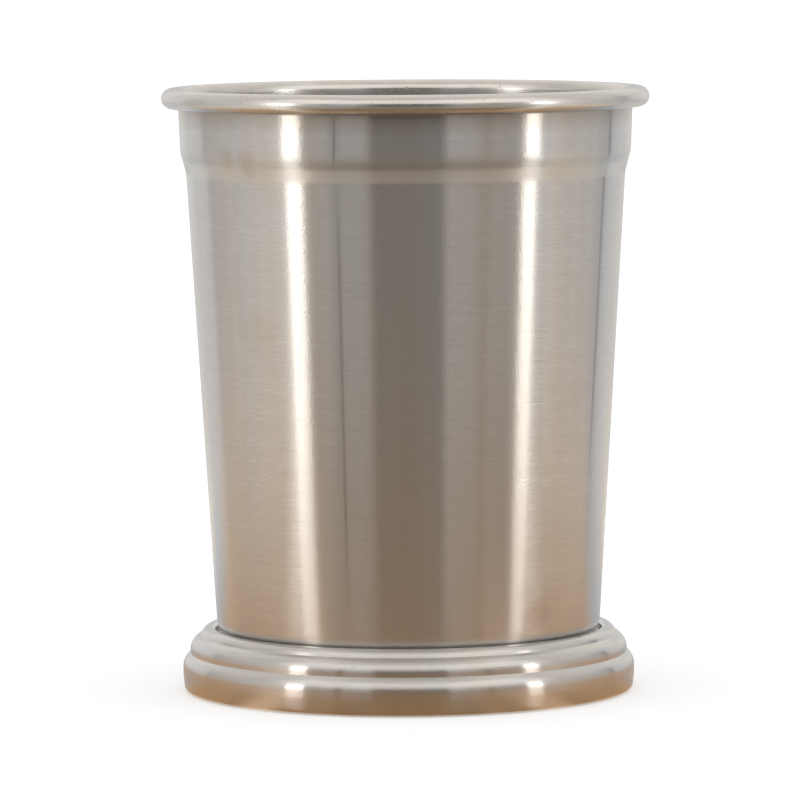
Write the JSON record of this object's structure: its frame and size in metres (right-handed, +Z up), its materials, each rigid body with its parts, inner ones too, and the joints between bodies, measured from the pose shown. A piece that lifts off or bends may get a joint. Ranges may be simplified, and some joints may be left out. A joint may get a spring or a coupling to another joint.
{
  "type": "julep cup",
  "caption": "Tapered brushed-steel julep cup with a rolled rim, a plain band above a sloping shoulder, and a stepped, moulded foot closed by a pressed base plate.",
  "frame": {"origin": "centre of the foot, on the plane that the cup stands on", "axes": "+Z up along the cup's axis; the cup is round about +Z, and the picture is taken from the -Y side"},
  "size_m": [0.089, 0.089, 0.11],
  "materials": {
    "brushed_cup_steel": "fine brushing round the cup, with a buffed rolled rim",
    "buffed_foot_steel": "buffed bright, with faint marks round the foot",
    "plain_plate_steel": "satin sheet, turned marks round the middle",
    "tin_solder": "dull cast solder"
  },
  "bodies": {
    "root": {"cup_shell": "brushed_cup_steel", "foot_moulding": "buffed_foot_steel", "base_plate": "plain_plate_steel", "seat_solder": "tin_solder", "base_solder": "tin_solder"}
  },
  "joints": []
}
